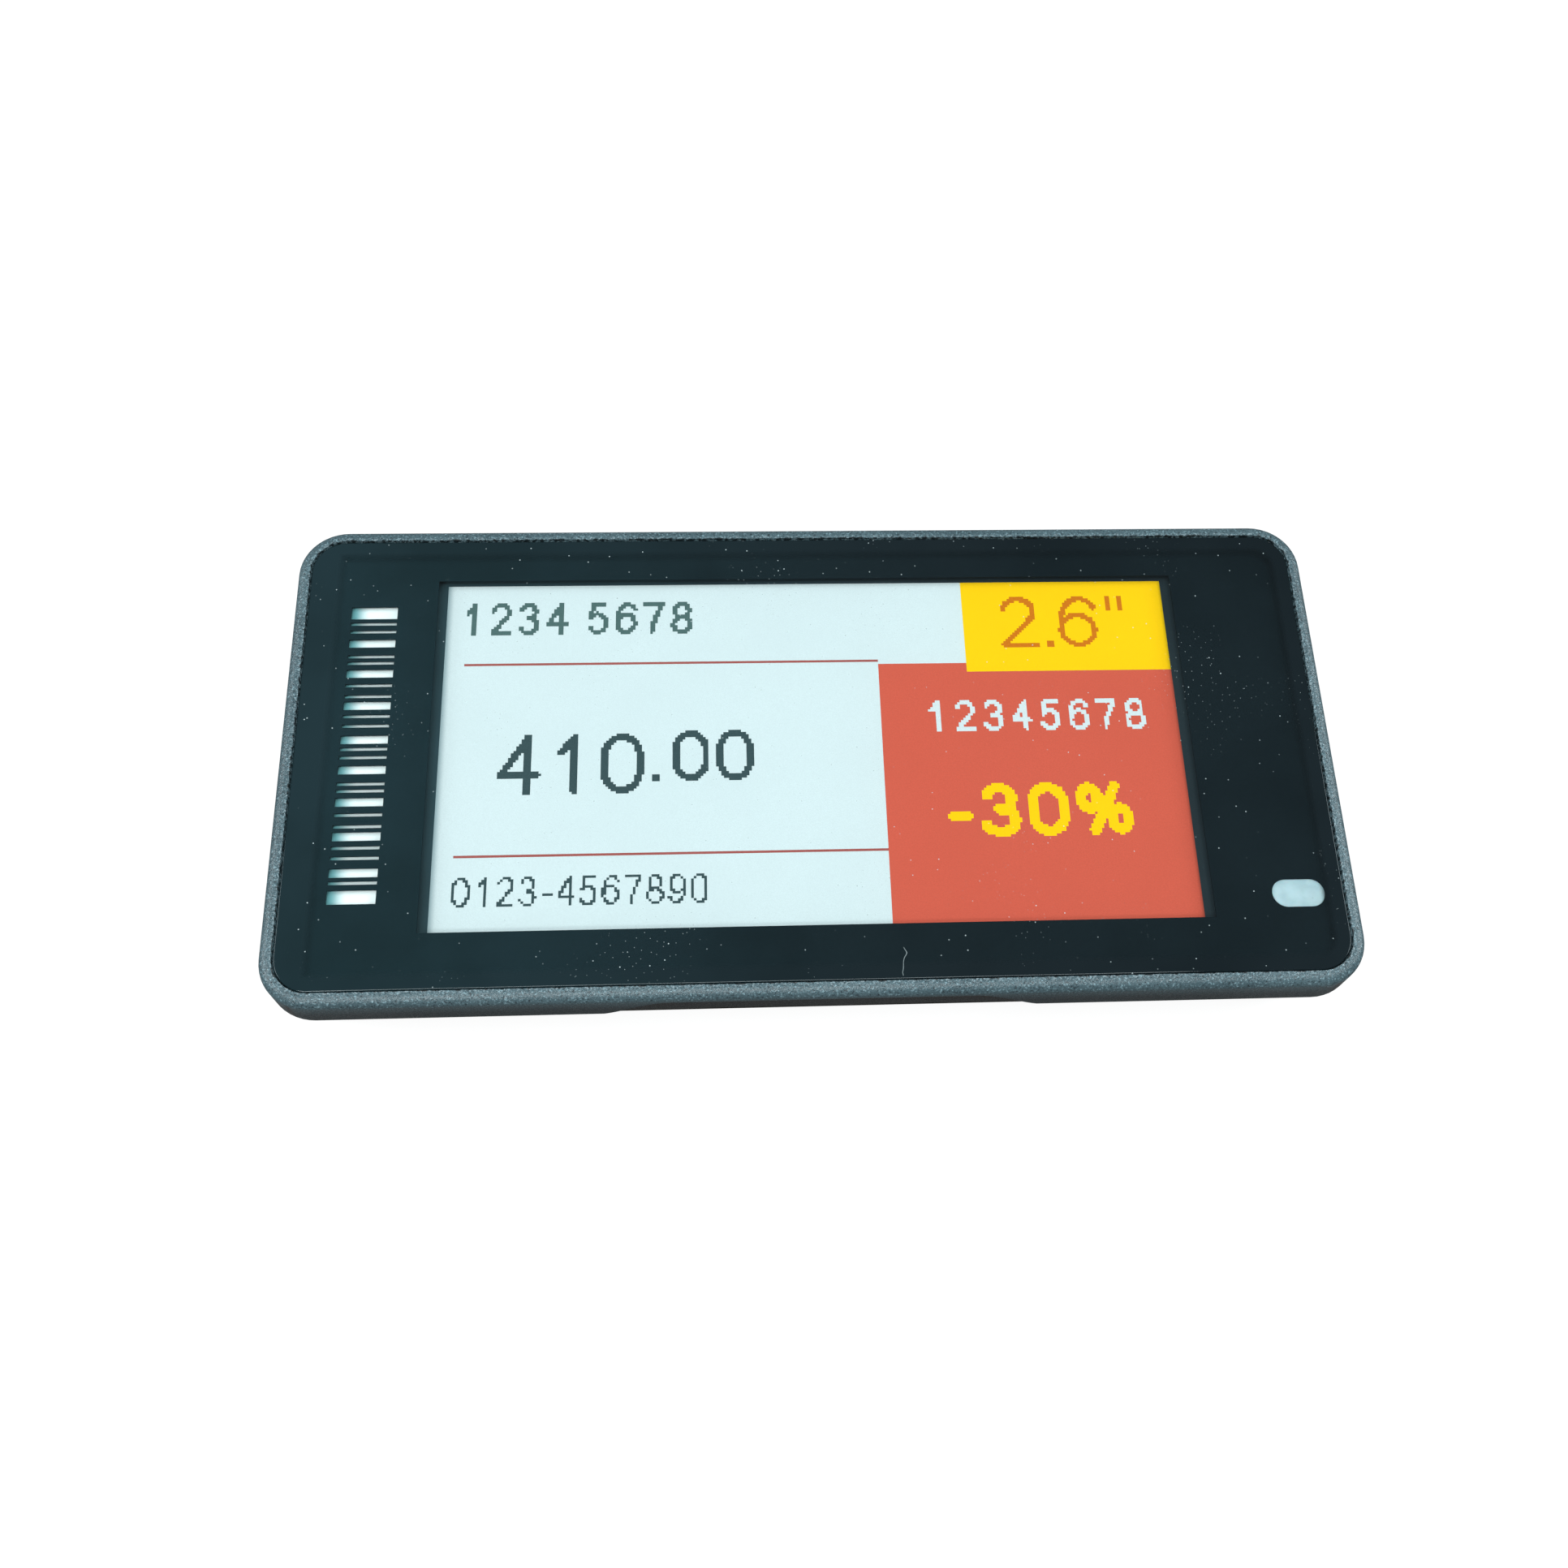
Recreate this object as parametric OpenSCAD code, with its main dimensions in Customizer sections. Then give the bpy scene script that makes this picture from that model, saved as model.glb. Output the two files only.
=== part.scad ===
// Electronic shelf label, lying on its back: +X along the width, +Y to the upper edge, +Z out of the face.
// The display stack hangs from the front frame, and the cells stand on the battery door at the back.

/* [Body] */
// Width of the screen's lit area
screen_w = 60.1; // [56:0.1:70]
// Height of the screen's lit area
screen_h = 30.7; // [28:0.1:40]
// Border from the screen to the label's left edge
border_left = 11.75; // [11:0.05:16]
// Border from the screen to the label's right edge
border_right = 11.55; // [10.8:0.05:16]
// Border from the screen to the label's lower edge
border_low = 5.95; // [5.5:0.05:10]
// Border from the screen to the label's upper edge
border_up = 4.15; // [4:0.05:8]
// Radius of the four upright corners
corner_r = 3.9; // [3.7:0.1:7]

/* [Front frame] */
// Width of the rim round the lens, seen from the front
rim_w = 1.05; // [0.95:0.05:1.4]
// Rounding of the rim's outer front edge
rim_round = 0.8; // [0.2:0.05:0.9]
// Rounding of the frame's outer back edge
skirt_round = 0.25; // [0.1:0.05:0.5]
// Depth of the frame's side wall, front to back
frame_depth = 3.65; // [3.6:0.05:4.1]
// Thickness of the frame's side wall
frame_wall = 1.2; // [1:0.05:1.4]
// Width of the scoop in the lower edge, at the frame's back
scoop_mouth_w = 35; // [30:0.2:44]
// Width of the scoop's straight top
scoop_top_w = 23; // [16:0.2:28]
// Height of the scoop
scoop_rise = 2.65; // [1.5:0.05:2.8]
// How far the scoop is sunk into the side wall
scoop_depth = 0.35; // [0.2:0.05:0.6]
// Length of a snap catch
catch_l = 5; // [3:0.5:8]
// How far a snap catch stands out of the wall
catch_out = 0.35; // [0.2:0.05:0.45]
// Height of a snap catch
catch_h = 0.35; // [0.25:0.05:0.4]
// Length of a rib that centres the glass
rib_l = 5; // [3:0.5:7]

/* [Lens] */
// Thickness of the lens
lens_t = 1; // [0.8:0.05:1.5]
// How far the lens lies below the rim
lens_drop = 0.12; // [0:0.02:0.2]
// Clearance round the lens in the rim
lens_gap = 0.1; // [0.05:0.01:0.2]
// Rounding of the lens's front edge
lens_round = 0.12; // [0.05:0.01:0.3]
// Thickness of the black mask under the lens
mask_t = 0.12; // [0.08:0.01:0.15]
// Thickness of the adhesive gasket
gasket_t = 0.15; // [0.1:0.01:0.18]
// Width of the mask's screen window
view_w = 61; // [56:0.5:61.5]
// Height of the mask's screen window
view_h = 30.6; // [28:0.2:31]
// Width of the code strip's slots
code_w = 3.7; // [3:0.1:3.8]
// Length of the code strip
code_l = 25.8; // [20:0.2:27]
// Number of slots in the code strip
code_slots = 27; // [15:2:31]
// Distance from the lens edge to the code strip
code_inset = 3.35; // [3:0.05:3.5]
// Length of the lamp window
lamp_l = 4.2; // [3:0.1:4.3]
// Height of the lamp window
lamp_h = 2.3; // [1.6:0.1:2.6]
// Distance from the right lens edge to the middle of the lamp window
lamp_inset = 3.3; // [3.2:0.02:3.5]
// Distance from the lower lens edge to the middle of the lamp window
lamp_up = 6.7; // [6:0.1:12]

/* [Display] */
// Distance from the mask down to the screen
screen_drop = 0.7; // [0.6:0.02:1]
// Thickness of the e-paper film
film_t = 0.3; // [0.28:0.01:0.5]
// Border of the film round the lit area
film_border = 0.9; // [0.7:0.05:1]
// Thickness of the display glass
glass_t = 0.6; // [0.5:0.02:0.8]
// Border of the glass at the right
glass_right = 2.8; // [2:0.05:3]
// Thickness of the foam under the glass
foam_t = 0.3; // [0.2:0.02:0.5]
// Width of the foam frame
foam_w = 5; // [3:0.25:8]
// Width of the display flex
flex_w = 12; // [8:0.5:14]
// Thickness of the display flex
flex_t = 0.12; // [0.08:0.01:0.14]
// Thickness of the inner tray
tray_t = 0.8; // [0.7:0.02:1.2]
// Thickness of the main board
board_t = 0.8; // [0.6:0.02:1]

/* [Cells and door] */
// Diameter of a coin cell
cell_d = 24.5; // [23:0.1:24.5]
// Thickness of a coin cell
cell_t = 5; // [3:0.1:5]
// Room between the cells and the tray, for the springs
spring_room = 0.36; // [0.3:0.02:0.6]
// Wall between the lower rail groove and the cells
groove_wall = 1.6; // [1.4:0.1:2.2]
// Wall between and round the cells
cradle_wall = 0.8; // [0.6:0.05:0.9]
// Clearance of a cell in its cradle
cell_gap = 0.35; // [0.3:0.05:0.4]
// Thickness of the battery door
door_t = 1; // [0.96:0.02:1.1]
// How far the door reaches past the cells, to each side
door_side = 2.15; // [1.8:0.05:2.6]
// How far the door reaches past the cells, at its upper end
door_end = 1.4; // [1:0.1:2]
// Width of the tongue along each side of the door
tongue_w = 0.8; // [0.6:0.05:1]
// Thickness of the tongue along each side of the door
tongue_t = 0.5; // [0.4:0.02:0.55]
// Sideways clearance of the door in its track
door_gap = 0.15; // [0.1:0.01:0.2]
// Upward clearance of the tongues in their track
tongue_gap = 0.05; // [0.04:0.005:0.08]
// Thickness of the foam on the door
door_foam_t = 0.25; // [0.15:0.01:0.27]
// Number of ribs in the door's thumb rest
grip_ribs = 5; // [3:1:7]

/* [Rear cover] */
// Clearance between the front frame and the rear cover
rear_gap = 0.1; // [0.05:0.01:0.15]
// Side wall of the rear cover
rear_wall = 1.1; // [1:0.02:1.12]
// Floor of the rear cover
floor_t = 1.2; // [1:0.05:1.5]
// Rounding of the back's outer edge
back_round = 0.5; // [0.2:0.05:0.8]
// Thickness of the roof over the door's track
roof_t = 0.8; // [0.6:0.05:0.85]
// Height of the rail groove above the back
groove_z = 2.2; // [2.2:0.05:2.6]
// Height of the rail groove's opening
groove_h = 1.6; // [1.2:0.1:1.8]
// Depth of the rail groove
groove_d = 1.5; // [1.3:0.05:1.6]
// How far the foot below each rail groove stands back
foot_in = 0.9; // [0.4:0.05:1]
// Radius of a screw post
post_r = 1.9; // [1.6:0.05:2]
// Radius of a screw's shank
screw_r = 0.75; // [0.6:0.01:0.78]
// Radius of a screw's head
head_r = 1.5; // [1.3:0.05:1.6]

/* [Hidden] */
$fn = 64;

// One overrun for every cut, and the gap between pieces that just meet
over = 1;
touch = 0.02;

// The whole label, and the place of the screen's middle in it
body_w = border_left + screen_w + border_right;
body_h = border_low + screen_h + border_up;
screen_dx = (border_left - border_right) / 2;
screen_dy = (border_low - border_up) / 2;
cell_rest = 0.05;
cell_z = door_t + door_foam_t + cell_rest;
cell_top = cell_z + cell_t;
stack_t = tray_t + foam_t + glass_t + film_t + screen_drop + mask_t + lens_t + lens_drop;
body_t = cell_top + spring_room + stack_t;

// Outlines of the lens recess, the frame's cavity, the rear cover and its inside
recess_w = body_w - 2 * rim_w;
recess_h = body_h - 2 * rim_w;
recess_r = corner_r - rim_w;
cavity_w = body_w - 2 * frame_wall;
cavity_h = body_h - 2 * frame_wall;
cavity_r = corner_r - frame_wall;
rear_w = cavity_w - 2 * rear_gap;
rear_h = cavity_h - 2 * rear_gap;
rear_r = cavity_r - rear_gap;
foot_h = rear_h - 2 * foot_in;
inner_w = rear_w - 2 * rear_wall;
inner_h = rear_h - 2 * rear_wall;
inner_r = rear_r - rear_wall;

// Heights of the display stack, from the rim downwards
lens_z = body_t - lens_drop - lens_t;
mask_z = lens_z - mask_t;
ledge_z = mask_z - gasket_t;
film_top = mask_z - screen_drop;
glass_top = film_top - film_t;
flex_over = 0.03;
ledge_under = glass_top + flex_t + flex_over;
ledge_t = ledge_z - ledge_under;
glass_z = glass_top - glass_t;
foam_z = glass_z - foam_t;
tray_z = foam_z - tray_t;
board_z = tray_z - board_t;
frame_z = body_t - frame_depth;
skirt_z = glass_z - rear_gap;

// Snap catches: places along the long sides, height above the frame's back, clearance in their windows
catch_shares = [-0.33, 0, 0.33];
catch_up = 0.08;
catch_gap = 0.1;

// Film, glass and driver chip
film_w = screen_w + 2 * film_border;
film_h = screen_h + 2 * film_border;
film_r = 0.3;
flex_gap = 0.3;
flex_wall_gap = 0.28;
rib_gap = 0.1;
rib_t = 0.35;
glass_x0 = flex_gap + flex_t + flex_wall_gap - inner_w / 2;
glass_x1 = screen_dx + screen_w / 2 + glass_right;
glass_y1 = cavity_h / 2 - rib_t - rib_gap;
glass_y0 = 2 * screen_dy - glass_y1;
glass_r = 0.2;
chip_w = 1.2;
chip_l = 12;
chip_t = 0.28;
chip_gap = 0.35;
chip_x1 = screen_dx - film_w / 2 - chip_gap;

// Opening in the ledge, from beside the driver chip to past the film
ledge_gap = 0.45;
open_x0 = chip_x1 - chip_w - chip_gap;
open_x1 = screen_dx + film_w / 2 + ledge_gap;
open_h = film_h + 2 * ledge_gap;
open_r = 0.6;
gasket_back = 0.2;

// Ribs that centre the glass: places along its long sides, its left side and its right side
rib_shares = [-0.35, 0.35];
rib_right_share = 0.15;

// Code strip: slots and spaces follow a plain rule, in shares of the strip's length
view_drop = 0.1;
code_x = -recess_w / 2 + code_inset;
code_y = screen_dy - view_drop;
code_margin = 0.3;
code_pocket = ledge_t / 2;
code_backing_share = 0.57;
code_last = code_slots - 1;
end_slot_share = 4;
function slot_share(k) = k == 0 || k == code_last ? end_slot_share : 1 + (k * k + 2 * k) % 3 * 0.8;
function space_share(k) = 1.1 + (3 * k + 1) % 4 * 0.45;
function shares_below(k) = k == 0 ? 0 : shares_below(k - 1) + slot_share(k - 1) + space_share(k - 1);
code_unit = code_l / (shares_below(code_last) + slot_share(code_last));

// Lamp window, the light guide under it and the lamp on the board
lamp_x = recess_w / 2 - lamp_inset;
lamp_y = -recess_h / 2 + lamp_up;
guide_lip = 0.3;
guide_gap = 0.1;
guide_foot_t = 0.6;
guide_foot_lip = 0.5;
led_l = 1.6;
led_w = 0.8;
led_t = 0.5;
dome_r = 0.3;

// Display flex: bend, bonded length and height of its lower run under the board
flex_bend = 0.25;
flex_bond = 1.2;
flex_drop = 0.45;
flex_x = glass_x0 - flex_gap;
flex_low = board_z - flex_drop;
notch_gap = 0.4;

// Flex connector and its locking bar
plug_in = 2.4;
plug_x = glass_x0 + plug_in;
plug_w = 3.2;
plug_margin = 0.5;
plug_h = 1;
plug_mouth = 1.2;
plug_lid = 0.35;
lock_t = 0.32;
lock_gap = 0.05;

// Tray and board outlines
tray_gap = 0.2;
board_gap = 0.6;
board_w = inner_w - 2 * board_gap;
board_h = inner_h - 2 * board_gap;
board_r = inner_r - board_gap;

// Cells and their cradle
bay_r = cell_d / 2 + cell_gap;
ring_r = bay_r + cradle_wall;
cell_x = bay_r + cradle_wall / 2;
cell_y = groove_d + groove_wall + bay_r - rear_h / 2;
cap_share = 0.85;
crimp_share = 0.92;
crimp_drop = 0.35;
crimp_d = 0.5;
can_round = 0.5;
ring_drop = 0.3;
ring_top = board_z - ring_drop;
cutout_r = bay_r + 0.3;

// Battery door and its track
door_half = cell_x + bay_r + door_side;
door_y1 = cell_y + bay_r + door_end;
track_lip_t = door_t - tongue_t - tongue_gap;
track_guide = 0.6;
track_wall = 1.5;
track_half = door_half + tongue_w + door_gap;
track_y1 = door_y1 + door_gap;
roof_z = cell_z;
roof_top = roof_z + roof_t;
door_foam_in = 1;
door_foam_r = 3;
nib_r = 0.5;
nib_out = 0.1;
nib_up = 4;
grip_w = 16;
grip_h = 7;
grip_depth = 0.35;
grip_down = 5.6;
grip_rib_w = 0.6;

// Rail groove's backing, inside the rear cover
groove_back = 1.4;
groove_above = 1;

// Posts, pilot bores and screws
post_side = 4;
post_side_low = 6.9;
post_edge = 4.3;
pilot_gap = 0.04;
pilot_depth = 3.6;
screw_bite = 3.2;
hole_gap = 0.15;
head_t = 0.5;
head_gap = 0.1;
slot_w = 0.35;
slot_depth = 0.25;
post_places = [for (s = [-1, 1], up = [0, 1])
    [s * (board_w / 2 - (up == 1 ? post_side : post_side_low)),
        (up == 1 ? 1 : -1) * (board_h / 2 - post_edge)]];

// Contacts
contact_w = 4;
contact_t = 0.15;
contact_bend = 3;
contact_tip = 0.8;
contact_rise = 0.25;
contact_pad = 3.5;
leaf_t = 0.2;
leaf_foot = 2.9;
leaf_low_share = 0.25;
leaf_gap = 0.4;

// Parts under the board, along the strip above the cells: places as shares of the board's width
strip_y = (cell_y + cutout_r + board_h / 2) / 2;
radio_share = -0.31;
crystal_share = -0.235;
memory_share = -0.07;
coil_share = 0.06;
radio_w = 5;
radio_t = 0.85;
crystal_w = 3.2;
crystal_l = 2.5;
crystal_t = 0.7;
memory_w = 4.9;
memory_l = 3.9;
memory_t = 1;
memory_standoff = 0.1;
lead_w = 0.4;
lead_out = 0.7;
lead_count = 4;
coil_w = 4;
coil_t = 1;
coil_r = 1.1;
cap_w = 0.8;
cap_l = 1.6;
cap_t = 0.8;
cap_pitch = 1.8;
cap_rows = 5;
cap_edge = 1.7;
cap_x_shares = [0.115, 0.385];
cap_low_share = -0.16;
antenna_gap = 0.4;
antenna_turns = 7;
antenna_pitch = 1.8;
antenna_h = 4.4;
trace_w = 0.5;
trace_t = 0.1;

// Flat rounded rectangle, drawn round the middle
module rounded(w, h, r) {
    square([w - 2 * r, h], center = true);
    square([w, h - 2 * r], center = true);
    for (x = [-1, 1], y = [-1, 1])
        translate([x * (w / 2 - r), y * (h / 2 - r)]) circle(r);
}

module obround(l, h) {
    square([l - h, h], center = true);
    for (x = [-1, 1]) translate([x * (l - h) / 2, 0]) circle(h / 2);
}

module plate(w, h, r, z0, z1) {
    translate([0, 0, z0]) linear_extrude(z1 - z0) rounded(w, h, r);
}

// Box with its low corner and its size worked out from two corners
module block(low, high) {
    translate(low) cube(high - low);
}

// Sweeps a profile round a rounded rectangle: its x runs outwards from the corners' middles, its y upwards
module sweep_edge(w, h, r) {
    cx = w / 2 - r;
    cy = h / 2 - r;
    for (q = [0:3]) {
        sx = q == 0 || q == 3 ? 1 : -1;
        sy = q < 2 ? 1 : -1;
        translate([sx * cx, sy * cy, 0]) rotate([0, 0, 90 * q]) rotate_extrude(angle = 90) children();
    }
    for (turn = [0, 180]) {
        rotate([0, 0, turn]) translate([cx, cy, 0]) rotate([90, 0, 0]) linear_extrude(2 * cy) children();
        rotate([0, 0, turn + 90]) translate([cy, cx, 0]) rotate([90, 0, 0])
            linear_extrude(2 * cx) children();
    }
}

// Plate whose outer upper and lower edges are rounded
module soft_plate(w, h, r, z0, z1, top, bottom) {
    plate(w, h, r, z0 + bottom, z1 - top);
    if (top > 0) {
        plate(w - 2 * top, h - 2 * top, r - top, z1 - top, z1);
        sweep_edge(w, h, r) translate([r - top, z1 - top]) intersection() {
            circle(top);
            square(top);
        }
    }
    if (bottom > 0) {
        plate(w - 2 * bottom, h - 2 * bottom, r - bottom, z0, z0 + bottom);
        sweep_edge(w, h, r) translate([r - bottom, z0]) intersection() {
            translate([0, bottom]) circle(bottom);
            square(bottom);
        }
    }
}

// Puts its children on the inner face of the frame's wall at each snap catch, +Y outwards
module at_catches() {
    for (turn = [0, 180], share = catch_shares)
        rotate([0, 0, turn]) translate([share * body_w, cavity_h / 2, frame_z + catch_up]) children();
    for (turn = [-90, 90])
        rotate([0, 0, turn]) translate([0, cavity_w / 2, frame_z + catch_up]) children();
}

module catch() {
    translate([-catch_l / 2, 0, 0]) rotate([90, 0, 90]) linear_extrude(catch_l)
        polygon([[0, 0], [-catch_out, catch_h / 2], [-catch_out, catch_h], [0, catch_h]]);
}

module glass_ribs() {
    for (share = rib_shares) {
        x = (glass_x0 + glass_x1) / 2 + share * (glass_x1 - glass_x0) - rib_l / 2;
        y = screen_dy + share * (glass_y1 - glass_y0) - rib_l / 2;
        y_right = screen_dy + sign(share) * rib_right_share * (glass_y1 - glass_y0) - rib_l / 2;
        block([x, glass_y1 + rib_gap, glass_z], [x + rib_l, cavity_h / 2, ledge_under]);
        block([x, -cavity_h / 2, glass_z], [x + rib_l, glass_y0 - rib_gap, ledge_under]);
        block([-cavity_w / 2, y, glass_z], [glass_x0 - rib_gap, y + rib_l, ledge_under]);
        block([glass_x1 + rib_gap, y_right, glass_z],
            [glass_x1 + rib_gap + frame_wall, y_right + rib_l, ledge_under]);
    }
}

// The scoop's outline: a straight top, with an S-curve down to the mouth at each end
scoop_steps = 12;
function scoop_end(side) = [for (i = [0:scoop_steps]) let (s = i / scoop_steps)
    [side * (scoop_mouth_w * (1 - s) + scoop_top_w * s) / 2, frame_z + scoop_rise * (1 - cos(180 * s)) / 2]];

module scoop() {
    right = scoop_end(1);
    outline = concat(scoop_end(-1), [for (i = [scoop_steps:-1:0]) right[i]],
        [[scoop_mouth_w / 2, frame_z - over], [-scoop_mouth_w / 2, frame_z - over]]);
    translate([0, -body_h / 2 + scoop_depth, 0]) rotate([90, 0, 0]) linear_extrude(scoop_depth + over)
        polygon(outline);
}

module code_recess(extra) {
    translate([code_x + code_w / 2, code_y])
        square([code_w + 2 * (code_margin + extra), code_l + 2 * (code_margin + extra)], center = true);
}

module ledge_opening(extra) {
    translate([(open_x0 + open_x1) / 2, screen_dy])
        rounded(open_x1 - open_x0 + 2 * extra, open_h + 2 * extra, open_r + extra);
}

module lamp_outline(extra) {
    translate([lamp_x, lamp_y]) obround(lamp_l + 2 * extra, lamp_h + 2 * extra);
}

module front_frame() {
    color("#47535a") difference() {
        union() {
            difference() {
                soft_plate(body_w, body_h, corner_r, frame_z, body_t, rim_round, skirt_round);
                plate(cavity_w, cavity_h, cavity_r, frame_z - over, ledge_under);
            }
            at_catches() catch();
            glass_ribs();
        }
        plate(recess_w, recess_h, recess_r, ledge_z, body_t + over);
        translate([0, 0, frame_z]) linear_extrude(frame_depth) ledge_opening(0);
        translate([0, 0, frame_z]) linear_extrude(frame_depth) lamp_outline(guide_lip + guide_gap);
        translate([0, 0, ledge_z - code_pocket]) linear_extrude(code_pocket + over) code_recess(lens_gap);
        scoop();
    }
}

module lens_outline(back) {
    rounded(recess_w - 2 * (lens_gap + back), recess_h - 2 * (lens_gap + back), recess_r - lens_gap - back);
}

module window_lens() {
    color("#aebfc4", 0.35)
        soft_plate(recess_w - 2 * lens_gap, recess_h - 2 * lens_gap, recess_r - lens_gap,
            lens_z, lens_z + lens_t, lens_round, 0);
}

module lens_mask() {
    color("#12191d") translate([0, 0, mask_z]) linear_extrude(mask_t) difference() {
        lens_outline(0);
        translate([screen_dx, screen_dy - view_drop]) square([view_w, view_h], center = true);
        for (k = [0:code_last])
            translate([code_x, code_y - code_l / 2 + shares_below(k) * code_unit])
                square([code_w, slot_share(k) * code_unit]);
        lamp_outline(0);
    }
}

module lens_gasket() {
    color("#0b0d0e") translate([0, 0, ledge_z]) linear_extrude(gasket_t) difference() {
        lens_outline(gasket_back);
        ledge_opening(gasket_back);
        code_recess(lens_gap + gasket_back / 2);
        lamp_outline(guide_lip + guide_gap + gasket_back);
    }
}

module code_backing() {
    color("#e6efee") translate([0, 0, ledge_z - code_pocket])
        linear_extrude(code_pocket * code_backing_share) code_recess(0);
}

module light_guide() {
    color("#cfe3e6") {
        translate([0, 0, foam_z]) linear_extrude(guide_foot_t) intersection() {
            lamp_outline(guide_lip + guide_foot_lip);
            tray_outline();
        }
        translate([0, 0, foam_z + guide_foot_t]) linear_extrude(mask_z - foam_z - guide_foot_t - touch)
            lamp_outline(guide_lip);
    }
}

module display_film() {
    color("#d9e4e3") translate([screen_dx, screen_dy, 0]) plate(film_w, film_h, film_r, glass_top, film_top);
}

module glass_outline(back) {
    translate([(glass_x0 + glass_x1) / 2, (glass_y0 + glass_y1) / 2])
        rounded(glass_x1 - glass_x0 - 2 * back, glass_y1 - glass_y0 - 2 * back, glass_r);
}

module display_glass() {
    color("#7f9a98") translate([0, 0, glass_z]) linear_extrude(glass_t) glass_outline(0);
}

module driver_chip() {
    color("#26282b") translate([chip_x1 - chip_w, screen_dy - chip_l / 2, glass_top])
        cube([chip_w, chip_l, chip_t]);
}

// One quarter of the flex's bend, in the quadrant that the turn gives
module flex_quarter(x, z, turn) {
    translate([x, z]) rotate(turn) intersection() {
        difference() {
            circle(flex_bend + flex_t);
            circle(flex_bend);
        }
        square(flex_bend + flex_t);
    }
}

module display_flex() {
    bend_x = flex_x + flex_bend;
    color("#b8772e") translate([0, screen_dy + flex_w / 2, 0]) rotate([90, 0, 0]) linear_extrude(flex_w) {
        translate([bend_x, glass_top]) square([glass_x0 + flex_bond - bend_x, flex_t]);
        flex_quarter(bend_x, glass_top - flex_bend, 90);
        translate([flex_x - flex_t, flex_low + flex_bend])
            square([flex_t, glass_top - flex_low - 2 * flex_bend]);
        flex_quarter(bend_x, flex_low + flex_bend, 180);
        translate([bend_x, flex_low - flex_t]) square([plug_x + plug_mouth - lock_gap - bend_x, flex_t]);
    }
}

module display_foam() {
    color("#2b2e30") translate([0, 0, foam_z]) linear_extrude(foam_t) difference() {
        intersection() {
            glass_outline(gasket_back);
            tray_outline();
        }
        glass_outline(foam_w);
    }
}

// Lets the flex pass the left edge of the tray and the board
module flex_notch() {
    translate([-body_w / 2, screen_dy - flex_w / 2 - notch_gap])
        square([body_w / 2 + glass_x0 + rib_gap, flex_w + 2 * notch_gap]);
}

// Places of the negative contacts' strips: the far end on the board, the bend over the cell and the tip
strip_far = cell_y + cutout_r + contact_pad;
strip_bend = cell_y + contact_bend;
strip_near = cell_y - 2 * contact_tip;

module tray_outline() {
    rounded(inner_w - 2 * tray_gap, inner_h - 2 * tray_gap, inner_r - tray_gap);
}

module display_tray() {
    color("#d5d6d2") difference() {
        translate([0, 0, tray_z]) linear_extrude(tray_t) difference() {
            tray_outline();
            flex_notch();
            lamp_outline(0);
        }
        for (p = post_places) translate([p[0], p[1], tray_z - over]) {
            cylinder(r = screw_r + hole_gap, h = tray_t + 2 * over);
            translate([0, 0, over + tray_t - head_t - touch])
                cylinder(r = head_r + head_gap, h = head_t + over);
        }
        for (s = [-1, 1])
            block([s * cell_x - contact_w / 2 - tray_gap, strip_near - leaf_gap, tray_z - over],
                [s * cell_x + contact_w / 2 + tray_gap, strip_far + tray_gap, tray_z + contact_t + touch]);
    }
}

module board_outline() {
    difference() {
        rounded(board_w, board_h, board_r);
        for (s = [-1, 1]) translate([s * cell_x, cell_y]) circle(cutout_r);
        translate([-cell_x - cutout_r, -board_h]) square([2 * (cell_x + cutout_r), board_h + cell_y]);
        flex_notch();
        for (p = post_places) translate(p) circle(screw_r + hole_gap);
    }
}

module main_board() {
    color("#1f6b46") translate([0, 0, board_z]) linear_extrude(board_t) board_outline();
}

module flex_connector() {
    l = flex_w + 2 * plug_margin;
    y = screen_dy - l / 2;
    color("#efe9d8") {
        block([plug_x, y, board_z - plug_lid], [plug_x + plug_mouth, y + l, board_z]);
        block([plug_x + plug_mouth, y, board_z - plug_h], [plug_x + plug_w, y + l, board_z]);
    }
}

module flex_lock() {
    l = flex_w + 2 * plug_margin;
    y = screen_dy - l / 2;
    color("#3a3a3c") block([plug_x, y, board_z - plug_h],
        [plug_x + plug_mouth - lock_gap, y + l, board_z - plug_h + lock_t]);
}

module radio_chip() {
    color("#1c1d20") translate([radio_share * board_w, strip_y, board_z - radio_t])
        linear_extrude(radio_t) rounded(radio_w, radio_w, dome_r);
}

module memory_chip() {
    x = memory_share * board_w;
    color("#202226") {
        translate([x - memory_w / 2, strip_y - memory_l / 2, board_z - memory_t])
            cube([memory_w, memory_l, memory_t - memory_standoff]);
        for (k = [0:lead_count - 1]) {
            lead_x = x - memory_w / 2 + (k + 0.5) * memory_w / lead_count - lead_w / 2;
            translate([lead_x, strip_y - memory_l / 2 - lead_out, board_z - memory_standoff - trace_t])
                cube([lead_w, memory_l + 2 * lead_out, memory_standoff + trace_t]);
        }
    }
}

module crystal() {
    color("#c9ccd0") translate([crystal_share * board_w, strip_y, board_z - crystal_t])
        linear_extrude(crystal_t) rounded(crystal_l, crystal_w, dome_r);
}

module boost_coil() {
    color("#4b4d52") translate([coil_share * board_w, strip_y, board_z - coil_t]) difference() {
        linear_extrude(coil_t) rounded(coil_w, coil_w, coil_r);
        translate([0, 0, -over]) difference() {
            cylinder(r = coil_w / 2 - slot_w, h = over + dome_r);
            cylinder(r = coil_r, h = over + dome_r);
        }
    }
}

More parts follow.
